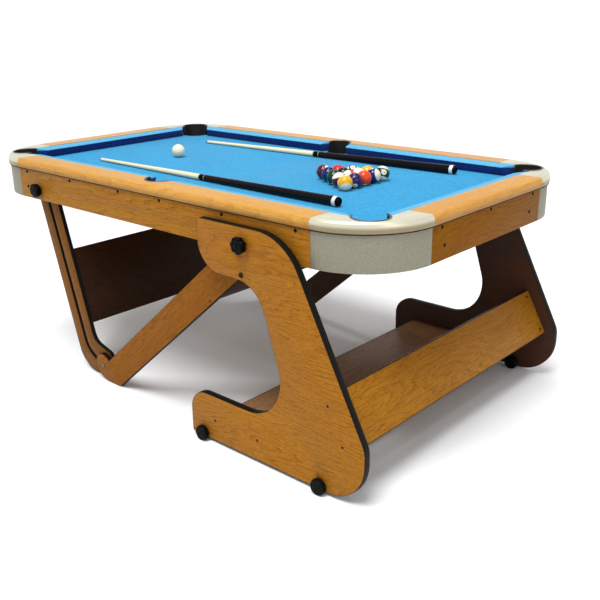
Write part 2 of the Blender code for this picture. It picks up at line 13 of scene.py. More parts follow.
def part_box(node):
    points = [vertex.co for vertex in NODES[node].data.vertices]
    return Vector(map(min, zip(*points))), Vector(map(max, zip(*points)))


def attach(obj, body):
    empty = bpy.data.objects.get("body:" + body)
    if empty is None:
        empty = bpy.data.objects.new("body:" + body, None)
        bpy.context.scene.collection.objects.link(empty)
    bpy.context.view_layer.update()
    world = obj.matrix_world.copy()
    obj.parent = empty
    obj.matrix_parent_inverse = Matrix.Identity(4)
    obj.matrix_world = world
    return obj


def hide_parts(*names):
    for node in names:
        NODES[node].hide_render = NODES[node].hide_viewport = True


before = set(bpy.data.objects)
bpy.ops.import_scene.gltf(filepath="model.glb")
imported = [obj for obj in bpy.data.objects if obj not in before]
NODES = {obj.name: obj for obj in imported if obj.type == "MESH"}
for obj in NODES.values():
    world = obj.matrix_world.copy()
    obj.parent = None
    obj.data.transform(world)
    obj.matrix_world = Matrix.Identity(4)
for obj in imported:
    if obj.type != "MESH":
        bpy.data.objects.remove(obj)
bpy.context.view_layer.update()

# ------------------------------------------------ places taken from the frame
RAIL_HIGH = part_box("rail_far")[1]
APRON_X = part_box("apron_right")[1].x            # outer face of the end aprons
APRON_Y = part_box("apron_far")[1].y              # outer face of the long aprons
OVERHANG = RAIL_HIGH.y - APRON_Y                # rails stand out past the aprons
APRON_LOW, APRON_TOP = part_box("apron_far")[0].z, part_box("apron_far")[1].z
RAIL_TOP = RAIL_HIGH.z
CLOTH_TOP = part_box("cloth")[1].z
PANEL_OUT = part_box("panel_far")[1].y            # outer face of the C-panels
PANEL_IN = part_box("panel_far")[0].y             # and their inner face
STRUT_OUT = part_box("strut_far")[1].y            # outer face of the struts
CORNER_R = 0.220                                # plan radius of the aprons' corners
CORNER_POCKET = (0.791, 0.412)                  # pocket centres, in X and Y
SIDE_POCKET_Y = 0.438
PIVOT_TOP = (0.470, 0.655)                      # pivots of the fold, in X and Z
PIVOT_LEG = (-0.567, 0.657)
STRUT_SLOPE = 40.4                              # degrees from horizontal
LEG_SLOPE = 74.0
BALL_R = 0.0238

# ------------------------------------------------------ sizes of added pieces
CORNER_RIM, SIDE_RIM = 0.0508, 0.0448           # radius of the pocket liners' beads
RIM_HALF = 0.0032                               # half the beads' width
CORNER_RIM_SPAN, SIDE_RIM_SPAN = 120, 91        # degrees to each side of the middle
APRON_SCREW_R = 0.0054
PANEL_SCREW_R = 0.0038
BOARD_SCREW_R = 0.0046
STRUT_SCREW_R = 0.0034
WHEEL_WIDTH = 0.018                             # one wheel of a twin castor
KNOB_LIFT = 0.0005                              # gap between a knob and its board
KNOB_LOBES, LOBE_DEPTH = 7, 0.0012
FIGURE_SIZE = 0.0105                            # height of the digits on the balls
CUE_TIP_Z, CUE_END_Z = 0.0062, 0.0153           # a cue's axis above the cloth at both ends
STRIPE_HALF = 0.0128                            # half the width of a ball's stripe
SPOT_R = 0.00875                                # radius of a ball's number spot


# ==================================================================== meshes
def placed(name, data):
    """A new object in the scene."""
    ob = bpy.data.objects.new(name, data)
    bpy.context.scene.collection.objects.link(ob)
    return ob


def solid(name, verts, faces, mats, body, sharp, indices, matrix=None):
    """Closed mesh object that rides on a body; faces take mats by indices."""
    mesh = bpy.data.meshes.new(name)
    mesh.from_pydata([tuple(v) for v in verts], [], faces)
    for mat in mats if isinstance(mats, (list, tuple)) else [mats]:
        mesh.materials.append(mat)
    mesh.polygons.foreach_set("material_index", indices)
    bm = bmesh.new()
    bm.from_mesh(mesh)
    bmesh.ops.recalc_face_normals(bm, faces=bm.faces)
    bm.to_mesh(mesh)
    bm.free()
    mesh.polygons.foreach_set("use_smooth", [True] * len(mesh.polygons))
    mesh.set_sharp_from_angle(angle=math.radians(sharp))
    ob = placed(name, mesh)
    if matrix is not None:
        ob.matrix_world = matrix
    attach(ob, body)
    return ob


class Pile:
    """Gathers several closed shapes into one mesh."""

    def __init__(self):
        self.verts, self.faces, self.indices = [], [], []

    def sweep(self, rings, closed=False, marks=None):
        """Skin through equal rings, closed round or capped; marks are their material slots."""
        base = len(self.verts)
        n, count = len(rings[0]), len(rings)
        marks = marks or [0] * count
        for ring in rings:
            self.verts.extend(ring)
        for i in range(count if closed else count - 1):
            j = (i + 1) % count
            for k in range(n):
                q = (k + 1) % n
                self.faces.append((base + i * n + k, base + i * n + q, base + j * n + q,
                                   base + j * n + k))
                self.indices.append(marks[i])
        if not closed:
            self.faces.append(tuple(base + k for k in range(n))[::-1])
            self.faces.append(tuple(base + (count - 1) * n + k for k in range(n)))
            self.indices += [marks[0], marks[-1]]
        return self

    def turned(self, profile, start, axis, segs=32, wobble=None):
        """Turned shape from rows of radius, distance and, if not 0, material slot."""
        start, d = Vector(start), Vector(axis).normalized()
        side = d.orthogonal().normalized()
        other = d.cross(side)
        rings, marks = [], []
        for row in profile:
            r, h = row[0], row[1]
            marks.append(row[2] if len(row) > 2 else 0)
            ring = []
            for i in range(segs):
                a = 2 * math.pi * i / segs
                rr = r + (wobble(a, h) if wobble else 0.0)
                ring.append(start + d * h + (side * math.cos(a) + other * math.sin(a)) * rr)
            rings.append(ring)
        return self.sweep(rings, marks=marks)

    def make(self, name, mats, body, slot, sharp=38, matrix=None):
        """The gathered shapes as one object."""
        return solid(name, self.verts, self.faces, mats, body, sharp, self.indices, matrix)


def face_loops(name, sign):
    """Outlines of a flat node's outer face in X and Z, material on the left."""
    mesh = NODES[name].data
    co = [v.co for v in mesh.vertices]
    face_y = max(sign * c.y for c in co) * sign
    edges = set()
    for poly in mesh.polygons:
        pts = [co[i] for i in poly.vertices]
        if any(abs(p.y - face_y) > 1e-5 for p in pts):
            continue
        keys = [(round(p.x, 5), round(p.z, 5)) for p in pts]
        if sign > 0:
            keys.reverse()
        for a, b in zip(keys, keys[1:] + keys[:1]):
            if a != b:
                edges.add((a, b))
    follow = {a: b for a, b in edges if (b, a) not in edges}
    loops = []
    while follow:
        start = next(iter(follow))
        loop, here = [], start
        while here in follow:
            loop.append(here)
            here = follow.pop(here)
        loops.append(loop)
    return loops


def edging(name, body, mat, lip=0.0005, crown=0.0014, proud=0.00012, least=0.15):
    """Black T-moulding round a flat side board and round its longer holes.

    lip is how deep it sits behind the outline, crown how far it bulges past it, and
    proud how far it stands off both faces.
    """
    sign = 1 if name.endswith("far") else -1
    low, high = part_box(name)
    mid, half = (low.y + high.y) / 2, (high.y - low.y) / 2
    section = [(-lip, half), (-lip * 0.7, half + proud), (0.0002, half + proud),
               (crown * 0.6, half * 0.86), (crown * 0.9, half * 0.5), (crown, 0.0)]
    section += [(o, -y) for o, y in section[-2::-1]]
    pile = Pile()
    for loop in face_loops(name, sign):
        size = sum(math.dist(a, b) for a, b in zip(loop, loop[1:] + loop[:1]))
        if size < least:
            continue
        rings = []
        for i, p in enumerate(loop):
            a, b = Vector(loop[i - 1]), Vector(loop[(i + 1) % len(loop)])
            d0, d1 = (Vector(p) - a).normalized(), (b - Vector(p)).normalized()
            n0, n1 = Vector((d0.y, -d0.x)), Vector((d1.y, -d1.x))
            m = (n0 + n1).normalized()
            m /= max(0.5, m.dot(n0))
            rings.append([Vector((p[0] + m.x * o, mid + y, max(0.0004, p[1] + m.y * o)))
                          for o, y in section])
        pile.sweep(rings, closed=True)
    return pile.make(name + "_edging", mat, body, "black_plastic", sharp=50)


# ================================================================= materials
def lit(colour, k):
    """A colour made k times as bright, at most 1."""
    return tuple(min(1.0, c * k) for c in colour)


class Shader:
    """Small helper for building one Principled node material."""

    def __init__(self, name, **sockets):
        self.mat = bpy.data.materials.new(name)
        self.mat.use_nodes = True
        self.tree = self.mat.node_tree
        self.bsdf = self.tree.nodes["Principled BSDF"]
        for key, value in sockets.items():
            self.bsdf.inputs[key.replace("_", " ")].default_value = value
        self.coords = self.add("ShaderNodeTexCoord").outputs["Object"]

    def add(self, kind, inputs=None, **props):
        node = self.tree.nodes.new(kind)
        for key, value in props.items():
            setattr(node, key, value)
        for key, value in (inputs or {}).items():
            self.feed(node.inputs[key], value)
        return node

    def feed(self, socket, value):
        if isinstance(value, bpy.types.NodeSocket):
            self.tree.links.new(value, socket)
        else:
            socket.default_value = value

    def calc(self, op, a, b=0.0, c=0.0, clamp=False):
        return self.add("ShaderNodeMath", {0: a, 1: b, 2: c}, operation=op,
                        use_clamp=clamp).outputs[0]

    def scaled(self, vector, scale):
        return self.add("ShaderNodeVectorMath", {0: vector, 1: scale},
                        operation="MULTIPLY").outputs[0]

    def split(self, vector):
        return self.add("ShaderNodeSeparateXYZ", {0: vector}).outputs

    def noise(self, vector, scale, detail=2.0, rough=0.5, warp=0.0):
        return self.add("ShaderNodeTexNoise", {"Vector": vector, "Scale": scale, "Detail": detail,
                                               "Roughness": rough, "Distortion": warp}).outputs[0]

    def mix(self, fac, a, b, blend="MIX"):
        node = self.add("ShaderNodeMix", data_type="RGBA", blend_type=blend)
        for index, value in ((0, fac), (6, a), (7, b)):
            if isinstance(value, tuple):
                value = (*value, 1.0)
            self.feed(node.inputs[index], value)
        return node.outputs[2]

    def ramp(self, fac, stops):
        node = self.add("ShaderNodeValToRGB", {0: fac})
        points = node.color_ramp.elements
        while len(points) < len(stops):
            points.new(0.5)
        for point, (at, value) in zip(points, stops):
            point.position = at
            point.color = (value, value, value, 1.0)
        return node.outputs[0]

    def band(self, value, low, high):
        """0 below low, 1 above high, smooth between."""
        node = self.add("ShaderNodeMapRange", {0: value, 1: low, 2: high, 3: 0.0, 4: 1.0},
                        interpolation_type="SMOOTHSTEP")
        return node.outputs[0]

    def below(self, value, low, high):
        """1 below low, 0 above high, smooth between."""
        return self.calc("SUBTRACT", 1.0, self.band(value, low, high))

    def nudge(self, amount, pattern, weight, clamp=False):
        """Move an amount up and down with a pattern that averages one half."""
        return self.calc("MULTIPLY_ADD", self.calc("SUBTRACT", pattern, 0.5), weight, amount, clamp)

    def colour(self, value):
        self.feed(self.bsdf.inputs["Base Color"], value)

    def rough(self, fac, low, high):
        node = self.add("ShaderNodeMapRange", {0: fac, 1: 0.0, 2: 1.0, 3: low, 4: high})
        self.feed(self.bsdf.inputs["Roughness"], node.outputs[0])

    def dusk(self, shown, level, span, depth):
        """Painted shade: deepen a colour below a height, fading out over the span above it."""
        low = self.below(self.split(self.coords)[2], level, level + span)
        tint = (1.0 - depth, 1.0 - depth * 1.12, 1.0 - depth * 1.3)
        return self.mix(low, shown, self.mix(1.0, shown, tint, "MULTIPLY"))

    def bump(self, height, strength, depth):
        node = self.add("ShaderNodeBump", {"Height": height, "Strength": strength,
                                           "Distance": depth})
        self.feed(self.bsdf.inputs["Normal"], node.outputs[0])


def growth_rings(s, grain):
    """Broad and fine rings that wander along the grain."""
    sway = s.noise(s.scaled(grain, (3.4, 19.0, 1.5)), 1.0, 2.0, 0.5)
    hill = s.noise(s.scaled(grain, (1.5, 8.5, 0.8)), 1.0, 1.0, 0.4, 0.2)
    jag = s.noise(s.scaled(grain, (46.0, 260.0, 20.0)), 1.0, 2.0, 0.65)
    across = s.split(grain)[1]
    field = s.calc("MULTIPLY_ADD", hill, 20.0, s.calc("MULTIPLY", across, 52.0))
    field = s.calc("MULTIPLY_ADD", sway, 5.0, field)
    field = s.calc("MULTIPLY_ADD", jag, 0.42, field)
    broad = s.ramp(s.calc("FRACT", field), [(0.0, 0.12), (0.25, 0.0), (0.62, 0.25), (0.86, 0.85),
                                            (0.94, 1.0), (1.0, 0.12)])
    fine = s.ramp(s.calc("FRACT", s.calc("MULTIPLY", field, 3.0)),
                  [(0.0, 0.1), (0.4, 0.0), (0.85, 0.8), (1.0, 0.1)])
    return broad, fine


def inner_face(s, grain, fibre, shade):
    """Painted shade for a board's inner face: dark for the shade under the table, with red-brown
    patches of painted light.
    """
    back = s.mix(fibre, lit(shade, 0.6), lit(shade, 1.4))
    lit_where = s.band(s.noise(s.scaled(grain, (2.6, 5.0, 1.0)), 1.0, 4.0, 0.6), 0.42, 0.66)
    lit_patch = s.mix(fibre, (0.040, 0.013, 0.006), (0.090, 0.028, 0.010))
    return s.mix(s.calc("MULTIPLY", lit_where, 0.7), back, lit_patch)


def wood(name, axes="XZY", turn=0.0, pale=(0.345, 0.146, 0.0115), deep=(0.150, 0.051, 0.0030),
         shift=(0.0, 0.0, 0.0), gloss=(0.36, 0.52), inner_shade=None, figure=1.0,
         flecks=0.45, dusk=None, wrap=1.0, spec=0.07):
    """Wood-effect laminate: growth rings, fibres and short pores along a grain.

    axes names the frame axes that become along, across and through; turn then
    rotates the grain in that plane. figure and flecks weigh the growth rings and
    the pores. The pair for the inner face gives the Y within which the board shows
    that face, and the face's colour: a painted shade for the shade under the table,
    with red-brown patches of painted light. The painted shade low on a moulded
    edge, standing for the shade under it, is passed on to the shader's painted-shade
    step. wrap scales the print through the board: above 1 it runs round a moulded
    edge, below 1 it stays even on a sloping face.
    """
    s = Shader(name, Specular_IOR_Level=spec)
    xyz = dict(zip("XYZ", s.split(s.coords)))
    packed = s.add("ShaderNodeCombineXYZ", {i: xyz[a] for i, a in enumerate(axes)}).outputs[0]
    packed = s.scaled(packed, (1.0, 1.0, wrap))
    grain = s.add("ShaderNodeMapping", {"Vector": packed, "Location": shift,
                                        "Rotation": (0.0, 0.0, math.radians(-turn))}).outputs[0]
    broad, fine = growth_rings(s, grain)
    fibre = s.noise(s.scaled(grain, (11.0, 300.0, 80.0)), 1.0, 4.0, 0.7)
    pores = s.band(s.noise(s.scaled(grain, (62.0, 470.0, 160.0)), 1.0, 2.0, 0.6), 0.55, 0.68)
    glints = s.band(s.noise(s.scaled(grain, (75.0, 380.0, 210.0)), 1.0, 2.0, 0.6), 0.54, 0.70)
    mottle = s.noise(s.scaled(grain, (62.0, 210.0, 80.0)), 1.0, 2.0, 0.6)
    tone = s.noise(s.scaled(grain, (1.3, 4.0, 1.0)), 1.0, 2.0, 0.5)
    amount = s.calc("MULTIPLY", broad, 0.34 * figure)
    amount = s.calc("MULTIPLY_ADD", fine, 0.20 * figure, amount)
    amount = s.nudge(amount, fibre, 1.5)
    amount = s.nudge(amount, mottle, 0.5)
    amount = s.nudge(amount, tone, 0.55)
    amount = s.calc("MULTIPLY_ADD", glints, -0.30 * figure, amount)
    amount = s.calc("ADD", amount, 0.20, clamp=True)
    colour = s.mix(amount, pale, deep)
    red = tuple(c * k for c, k in zip(pale, (1.02, 0.80, 0.62)))
    colour = s.mix(s.calc("MULTIPLY", s.band(tone, 0.45, 0.75), 0.35), colour, red)
    dark = lit(deep, 0.45)
    colour = s.mix(s.calc("MULTIPLY", pores, flecks), colour, dark)
    # painted shade low on a moulded edge
    if dusk:
        colour = s.dusk(colour, *dusk)
    # painted shade on the board's inner face, with patches of painted light
    if inner_shade:
        limit, shade = inner_shade
        inner = s.calc("LESS_THAN", s.calc("ABSOLUTE", xyz["Y"]), limit)
        colour = s.mix(inner, colour, inner_face(s, grain, fibre, shade))
    s.colour(colour)
    s.rough(s.calc("MULTIPLY_ADD", pores, 0.5, s.calc("MULTIPLY", fibre, 0.6)), *gloss)
    s.bump(s.calc("SUBTRACT", s.calc("MULTIPLY", fibre, 0.5), pores), 0.22, 0.00025)
    return s.mat


def plastic(name, colour, gloss=(0.38, 0.52), grain=900.0, lift=0.12, spec=0.5):
    """Moulded plastic with a fine leathery grain and slight colour drift."""
    s = Shader(name, Specular_IOR_Level=spec)
    fine = s.noise(s.coords, grain, 3.0, 0.6)
    broad = s.noise(s.coords, 14.0, 3.0, 0.55)
    s.colour(s.mix(s.band(broad, 0.3, 0.7), lit(colour, 0.8), lit(colour, 1.25)))
    s.rough(s.calc("MULTIPLY_ADD", broad, 0.6, s.calc("MULTIPLY", fine, 0.4)), *gloss)
    s.bump(fine, lift, 0.0002)
    return s.mat


def silver(name, colour, gloss, metal, fleck=0.10, lift=0.10, dusk=None):
    """Satin champagne-silver paint: metal flecks under a fine orange peel, and, when asked, a
    painted shade low on the edge for the shade under the lip.
    """
    s = Shader(name, Metallic=metal, Specular_IOR_Level=0.5)
    flakes = s.add("ShaderNodeTexVoronoi", {"Vector": s.coords, "Scale": 700.0},
                   feature="F1").outputs["Color"]
    speck = s.split(flakes)[0]
    broad = s.noise(s.coords, 9.0, 4.0, 0.55)
    mid = s.noise(s.coords, 260.0, 3.0, 0.6)
    bright = s.calc("MULTIPLY_ADD", speck, fleck, s.calc("MULTIPLY", broad, 0.14))
    bright = s.calc("MULTIPLY_ADD", mid, fleck, bright)
    shown = s.mix(bright, lit(colour, 0.86), lit(colour, 1.7))
    s.colour(s.dusk(shown, *dusk) if dusk else shown)
    s.rough(s.calc("MULTIPLY_ADD", mid, 0.5, s.calc("MULTIPLY", broad, 0.5)), *gloss)
    s.bump(s.calc("MULTIPLY_ADD", speck, 0.5, mid), lift, 0.00015)
    return s.mat


def cloth(name, colour, dark, below=None, under=None):
    """Napped woollen table cloth; below a height it takes the under colour, a painted shade for the
    shade under the cushions' nose.
    """
    s = Shader(name, Sheen_Weight=0.12, Sheen_Roughness=0.45, Specular_IOR_Level=0.12)
    s.bsdf.inputs["Sheen Tint"].default_value = (0.65, 0.85, 1.0, 1.0)
    warp = s.noise(s.scaled(s.coords, (520.0, 2600.0, 900.0)), 1.0, 2.0, 0.6)
    weft = s.noise(s.scaled(s.coords, (2600.0, 520.0, 900.0)), 1.0, 2.0, 0.6)
    fuzz = s.noise(s.coords, 420.0, 4.0, 0.7, 0.6)
    cloudy = s.noise(s.scaled(s.coords, (3.0, 4.5, 3.0)), 1.0, 4.0, 0.6)
    weave = s.calc("MULTIPLY", s.calc("ADD", warp, weft), 0.5)
    lint = s.noise(s.scaled(s.coords, (85.0, 105.0, 90.0)), 1.0, 4.0, 0.8, 0.4)
    amount = s.nudge(0.42, weave, 1.6)
    amount = s.nudge(amount, lint, 3.0)
    amount = s.nudge(amount, fuzz, 0.9)
    amount = s.nudge(amount, cloudy, 0.45, clamp=True)
    shown = s.mix(amount, colour, dark)
    # painted shade on the cushion face below its nose
    if under:
        z = s.split(s.coords)[2]
        low = s.below(z, below - 0.0012, below + 0.0006)
        shade = s.mix(amount, lit(under, 1.3), lit(under, 0.7))
        shown = s.mix(low, shown, shade)
    s.colour(shown)
    s.rough(fuzz, 0.82, 0.98)
    s.bump(s.calc("MULTIPLY_ADD", fuzz, 0.8, weave), 0.35, 0.0005)
    return s.mat


def board(name, colour):
    """Bare medium-density board with pressed fibre flecks."""
    s = Shader(name, Specular_IOR_Level=0.25)
    fleck = s.noise(s.coords, 500.0, 4.0, 0.7)
    broad = s.noise(s.coords, 12.0, 3.0, 0.5)
    amount = s.calc("MULTIPLY_ADD", fleck, 0.7, s.calc("MULTIPLY", broad, 0.3))
    s.colour(s.mix(amount, lit(colour, 0.6), lit(colour, 1.4)))
    s.rough(fleck, 0.7, 0.9)
    s.bump(fleck, 0.3, 0.0003)
    return s.mat


def steel(name, colour=(0.50, 0.50, 0.48)):
    """Zinc-plated steel with a faint spangle and rubbed highlights."""
    s = Shader(name, Metallic=1.0)
    spangle = s.noise(s.coords, 240.0, 4.0, 0.6)
    s.colour(s.mix(spangle, lit(colour, 0.75), lit(colour, 1.2)))
    s.rough(spangle, 0.25, 0.45)
    s.bump(spangle, 0.08, 0.0002)
    return s.mat


def resin(name, colour, stripe):
    """Polished ball: a stripe round its own Z, number spots at both ends of its X."""
    s = Shader(name, Specular_IOR_Level=0.30, Coat_Weight=0.16, Coat_Roughness=0.03)
    _, y, z = s.split(s.coords)
    ivory = (0.74, 0.69, 0.55)
    cloud = s.noise(s.coords, 70.0, 3.0, 0.5)
    shown = s.mix(cloud, lit(colour, 0.82), lit(colour, 1.2))
    white = s.mix(cloud, lit(ivory, 0.94), ivory)
    if stripe:
        edge = s.band(s.calc("ABSOLUTE", z), STRIPE_HALF - 0.0002, STRIPE_HALF + 0.0002)
        shown = s.mix(edge, shown, white)
    off = s.calc("SQRT", s.calc("ADD", s.calc("MULTIPLY", y, y), s.calc("MULTIPLY", z, z)))
    spot = s.below(off, SPOT_R - 0.00015, SPOT_R + 0.00015)
    shown = s.mix(spot, shown, white)
    s.colour(shown)
    s.rough(s.noise(s.coords, 320.0, 3.0, 0.6), 0.03, 0.09)
    return s.mat


def plain_resin(name, colour, gloss=(0.08, 0.2)):
    """Polished resin without a number, with faint scuffs."""
    s = Shader(name, Specular_IOR_Level=0.55, Coat_Weight=0.4, Coat_Roughness=0.06)
    cloud = s.noise(s.coords, 55.0, 4.0, 0.6)
    scuff = s.noise(s.coords, 700.0, 3.0, 0.7)
    s.colour(s.mix(cloud, lit(colour, 0.86), lit(colour, 1.06)))
    s.rough(scuff, *gloss)
    s.bump(scuff, 0.03, 0.0001)
    return s.mat


def cue_shaft(name):
    """Pale maple along the cue's own X, under a satin lacquer."""
    s = Shader(name, Specular_IOR_Level=0.5, Coat_Weight=0.35, Coat_Roughness=0.15)
    streak = s.noise(s.scaled(s.coords, (6.0, 420.0, 420.0)), 1.0, 3.0, 0.6)
    tick = s.band(s.noise(s.scaled(s.coords, (60.0, 1500.0, 1500.0)), 1.0, 1.0, 0.5), 0.6, 0.75)
    shown = s.mix(streak, (0.86, 0.77, 0.53), (0.68, 0.55, 0.32))
    s.colour(s.mix(s.calc("MULTIPLY", tick, 0.3), shown, (0.36, 0.22, 0.09)))
    s.rough(streak, 0.28, 0.4)
    s.bump(streak, 0.06, 0.0002)
    return s.mat


def cue_butt(name, points_at, reach):
    """Near-black butt with four long, slim points of dark rosewood."""
    s = Shader(name, Specular_IOR_Level=0.09, Coat_Weight=0.04, Coat_Roughness=0.06)
    x, y, z = s.split(s.coords)
    streak = s.noise(s.scaled(s.coords, (9.0, 260.0, 260.0)), 1.0, 3.0, 0.6)
    black = s.mix(streak, (0.0016, 0.0018, 0.0030), (0.0060, 0.0048, 0.0050))
    rosewood = s.mix(streak, (0.016, 0.006, 0.004), (0.006, 0.0030, 0.0024))
    turn = s.calc("ARCTAN2", y, z)
    saw = s.calc("PINGPONG", s.calc("MULTIPLY", turn, 2.0 / math.pi), 0.5)
    tip = s.calc("MULTIPLY_ADD", saw, 2.0 * reach, points_at)
    inlay = s.below(s.calc("SUBTRACT", x, tip), -0.0004, 0.0004)
    s.colour(s.mix(inlay, black, rosewood))
    s.rough(streak, 0.14, 0.26)
    return s.mat


def floor_paint(name):
    """Matt white studio floor with a barely visible unevenness."""
    s = Shader(name, Specular_IOR_Level=0.1)
    cloud = s.noise(s.coords, 1.5, 3.0, 0.5)
    s.colour(s.mix(cloud, (0.850, 0.862, 0.874), (0.890, 0.900, 0.912)))
    s.rough(cloud, 0.8, 0.95)
    return s.mat


# painted shade: the colour the boards' inner faces take, standing for the shade under the table
INNER_SHADE = (0.040, 0.020, 0.013)                    # inner faces of the boards
# level, span and depth of the painted shade low on the rails' and caps' edges, standing for the
# shade under their rounded lip
RAIL_PAINTED_SHADE = (APRON_TOP + 0.002, RAIL_TOP - APRON_TOP - 0.012, 0.34)
CAP_PAINTED_SHADE = (APRON_TOP + 0.0090, 0.0125, 0.58)
# the rails' laminate is paler than the aprons': partly a tone of its own, partly painted light for
# the light falling on the tops
RAIL_LOOK = {"pale": (0.56, 0.290, 0.058), "deep": (0.33, 0.135, 0.020), "gloss": (0.26, 0.38),
             "figure": 0.7, "flecks": 0.22, "dusk": RAIL_PAINTED_SHADE, "wrap": 3.5, "spec": 0.13}
M = {
    "apron_long": wood("laminate_long", "XZY", shift=(0.3, 0.1, 0.0)),
    # painted shade: the end aprons take a darker copy of the apron laminate, standing for the shade
    # on the end faces
    "apron_end": wood("laminate_end_painted_shade", "YZX", shift=(1.7, 0.4, 0.0), pale=(0.235, 0.088, 0.0045),
                      deep=(0.100, 0.032, 0.0016), spec=0.03),
    # painted shade on the panels' inner faces
    "panel": wood("laminate_panel", "XZY", shift=(4.1, 0.9, 0.0), pale=(0.355, 0.148, 0.0130),
                  deep=(0.150, 0.050, 0.0030), inner_shade=(PANEL_IN + 0.0005, INNER_SHADE)),
    # painted shade: the struts and legs take darker copies of the board laminate, standing for the
    # shade under the table
    "strut": wood("laminate_strut_painted_shade", "XZY", STRUT_SLOPE, shift=(2.3, 0.0, 0.0),
                  pale=(0.250, 0.090, 0.0045), deep=(0.108, 0.033, 0.0016),
                  inner_shade=(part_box("strut_far")[0].y + 0.0005, INNER_SHADE)),
    "leg": wood("laminate_leg_painted_shade", "XZY", -LEG_SLOPE, shift=(0.7, 0.2, 0.0),
                pale=(0.180, 0.066, 0.0042), deep=(0.082, 0.027, 0.0016),
                inner_shade=(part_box("leg_far")[0].y + 0.0005, INNER_SHADE)),
    "front": wood("laminate_front", "YZX", shift=(5.2, 0.3, 0.0), wrap=0.1, figure=0.95),
    # painted shade: the shelf laminate is greyed towards the tone it has in the shade under the
    # table top
    "shelf": wood("laminate_shelf_painted_shade", "YXZ", shift=(6.2, 0.3, 0.0), pale=(0.340, 0.178, 0.080),
                  deep=(0.130, 0.058, 0.022)),
    # painted shade: the cross boards take a near-black copy of the laminate, standing for the deep
    # shade between the legs
    "cross": wood("laminate_cross_painted_shade", "YZX", shift=(7.9, 0.6, 0.0), pale=(0.034, 0.0135, 0.006),
                  deep=(0.015, 0.0065, 0.0030)),
    "rail_long": wood("rail_laminate_long", "XYZ", shift=(8.8, 0.6, 0.0), **RAIL_LOOK),
    "rail_end": wood("rail_laminate_end", "YXZ", shift=(3.3, 0.2, 0.0), **RAIL_LOOK),
    "cap": silver("silver_cap", (0.630, 0.590, 0.455), (0.27, 0.36), 0.36, fleck=0.04, lift=0.02,
                  dusk=CAP_PAINTED_SHADE),
    "rim": plastic("pocket_rim", (0.032, 0.029, 0.022), (0.26, 0.40), spec=0.6),
    "skirt": silver("silver_skirt", (0.166, 0.157, 0.116), (0.46, 0.62), 0.35, fleck=0.55,
                    lift=0.3),
    "edge": plastic("black_edging", (0.0050, 0.0040, 0.0030), (0.42, 0.58), spec=0.10),
    "black": plastic("black_moulding", (0.0014, 0.0014, 0.0016), (0.22, 0.36), spec=0.055),
    "tub": plastic("pocket_tub", (0.007, 0.007, 0.008), (0.5, 0.7), spec=0.3),
    # painted shadow: near-black strip for the shadow in the gap under the rails
    "shadow_line": plastic("painted_shadow_line", (0.012, 0.009, 0.007), (0.6, 0.75), spec=0.2),
    "rubber": plastic("wheel_rubber", (0.0020, 0.0020, 0.0023), (0.34, 0.5), 500.0, 0.2, 0.07),
    "fixing": steel("dark_fixing", (0.030, 0.023, 0.017)),
    "blue": cloth("blue_cloth", (0.034, 0.290, 0.525), (0.018, 0.196, 0.39)),
    # painted shade: below its nose the cushion cloth turns deep navy, standing for the shade there
    "cushion": cloth("cushion_cloth", (0.100, 0.375, 0.58), (0.060, 0.275, 0.46), 0.7465,
                     (0.006, 0.026, 0.14)),
    "board": board("bare_board", (0.30, 0.19, 0.10)),
    "steel": steel("zinc_steel", (0.20, 0.19, 0.17)),
    "brass": steel("brass_ring", (0.62, 0.45, 0.20)),
    "cue_ball": plain_resin("cue_ball_resin", (0.80, 0.725, 0.52)),
    "white_ring": plain_resin("white_ring", (0.72, 0.70, 0.64), (0.15, 0.3)),
    "shaft": cue_shaft("cue_shaft"),
    "tip": board("cue_tip_leather", (0.10, 0.16, 0.20)),
    "figures": plastic("ball_figures", (0.008, 0.008, 0.008), (0.12, 0.2)),
    "floor": floor_paint("studio_floor"),
}


# ============================================================ dressing the CAD
def normals_group():
    """Smooth shading that breaks only where two faces meet at a real edge."""
    group = bpy.data.node_groups.new("edge_normals", "GeometryNodeTree")
    group.interface.new_socket("Geometry", in_out="INPUT", socket_type="NodeSocketGeometry")
    group.interface.new_socket("Geometry", in_out="OUTPUT", socket_type="NodeSocketGeometry")
    new, link = group.nodes.new, group.links.new
    entry, leave = new("NodeGroupInput"), new("NodeGroupOutput")
    clear = new("GeometryNodeRemoveAttribute")
    clear.inputs["Name"].default_value = "custom_normal"
    faces = new("GeometryNodeSetShadeSmooth")
    edges = new("GeometryNodeSetShadeSmooth")
    edges.domain = "EDGE"
    angle = new("GeometryNodeInputMeshEdgeAngle")
    gentle = new("FunctionNodeCompare")
    gentle.operation = "LESS_THAN"
    gentle.inputs[1].default_value = math.radians(33)
    link(entry.outputs[0], clear.inputs["Geometry"])
    link(clear.outputs[0], faces.inputs["Geometry"])
    link(faces.outputs[0], edges.inputs["Geometry"])
    link(angle.outputs["Unsigned Angle"], gentle.inputs[0])
    link(gentle.outputs[0], edges.inputs["Shade Smooth"])
    link(edges.outputs[0], leave.inputs[0])
    return group


NORMALS = normals_group()


def dress(name, mat, bevel=0.0007):
    """Give a CAD node its material, edges softened by bevel, and clean shading."""
    ob = NODES[name]
    ob.material_slots[0].material = mat
    weld = ob.modifiers.new("weld", "WELD")
    weld.merge_threshold = 0.00002
    flat = ob.modifiers.new("flat", "DECIMATE")
    flat.decimate_type = "DISSOLVE"
    flat.angle_limit = math.radians(0.3)
    if bevel:
        edge = ob.modifiers.new("edge", "BEVEL")
        edge.width = bevel
        edge.segments = 2
        edge.limit_method = "ANGLE"
        edge.angle_limit = math.radians(50)
    shade = ob.modifiers.new("shade", "NODES")
    shade.node_group = NORMALS


